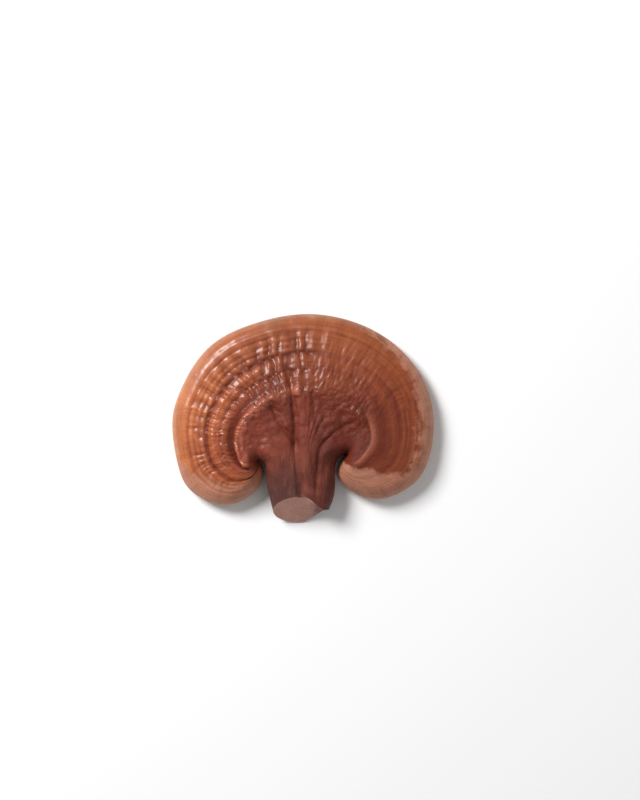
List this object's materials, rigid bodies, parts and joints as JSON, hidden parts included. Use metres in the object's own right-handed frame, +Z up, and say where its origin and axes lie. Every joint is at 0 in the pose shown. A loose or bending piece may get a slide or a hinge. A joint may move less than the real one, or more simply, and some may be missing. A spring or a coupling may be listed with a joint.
{
  "type": "reishi mushroom",
  "caption": "Kidney-shaped bracket mushroom with a lacquered ringed cap, a raised inner welt and a short thick side stem cut on a slant, lying on its flat pore face.",
  "frame": {"origin": "under the middle of the object's bounding box, on the plane of the pore face that it rests on", "axes": "+Z up out of the lacquered top, +Y from the stem towards the far margin, +X to the right across the cap's width"},
  "size_m": [0.1402, 0.112, 0.0219],
  "materials": {
    "cap": "satin",
    "stem": "satin"
  },
  "bodies": {
    "root": {"cap": "cap", "stem": "stem"}
  },
  "joints": []
}
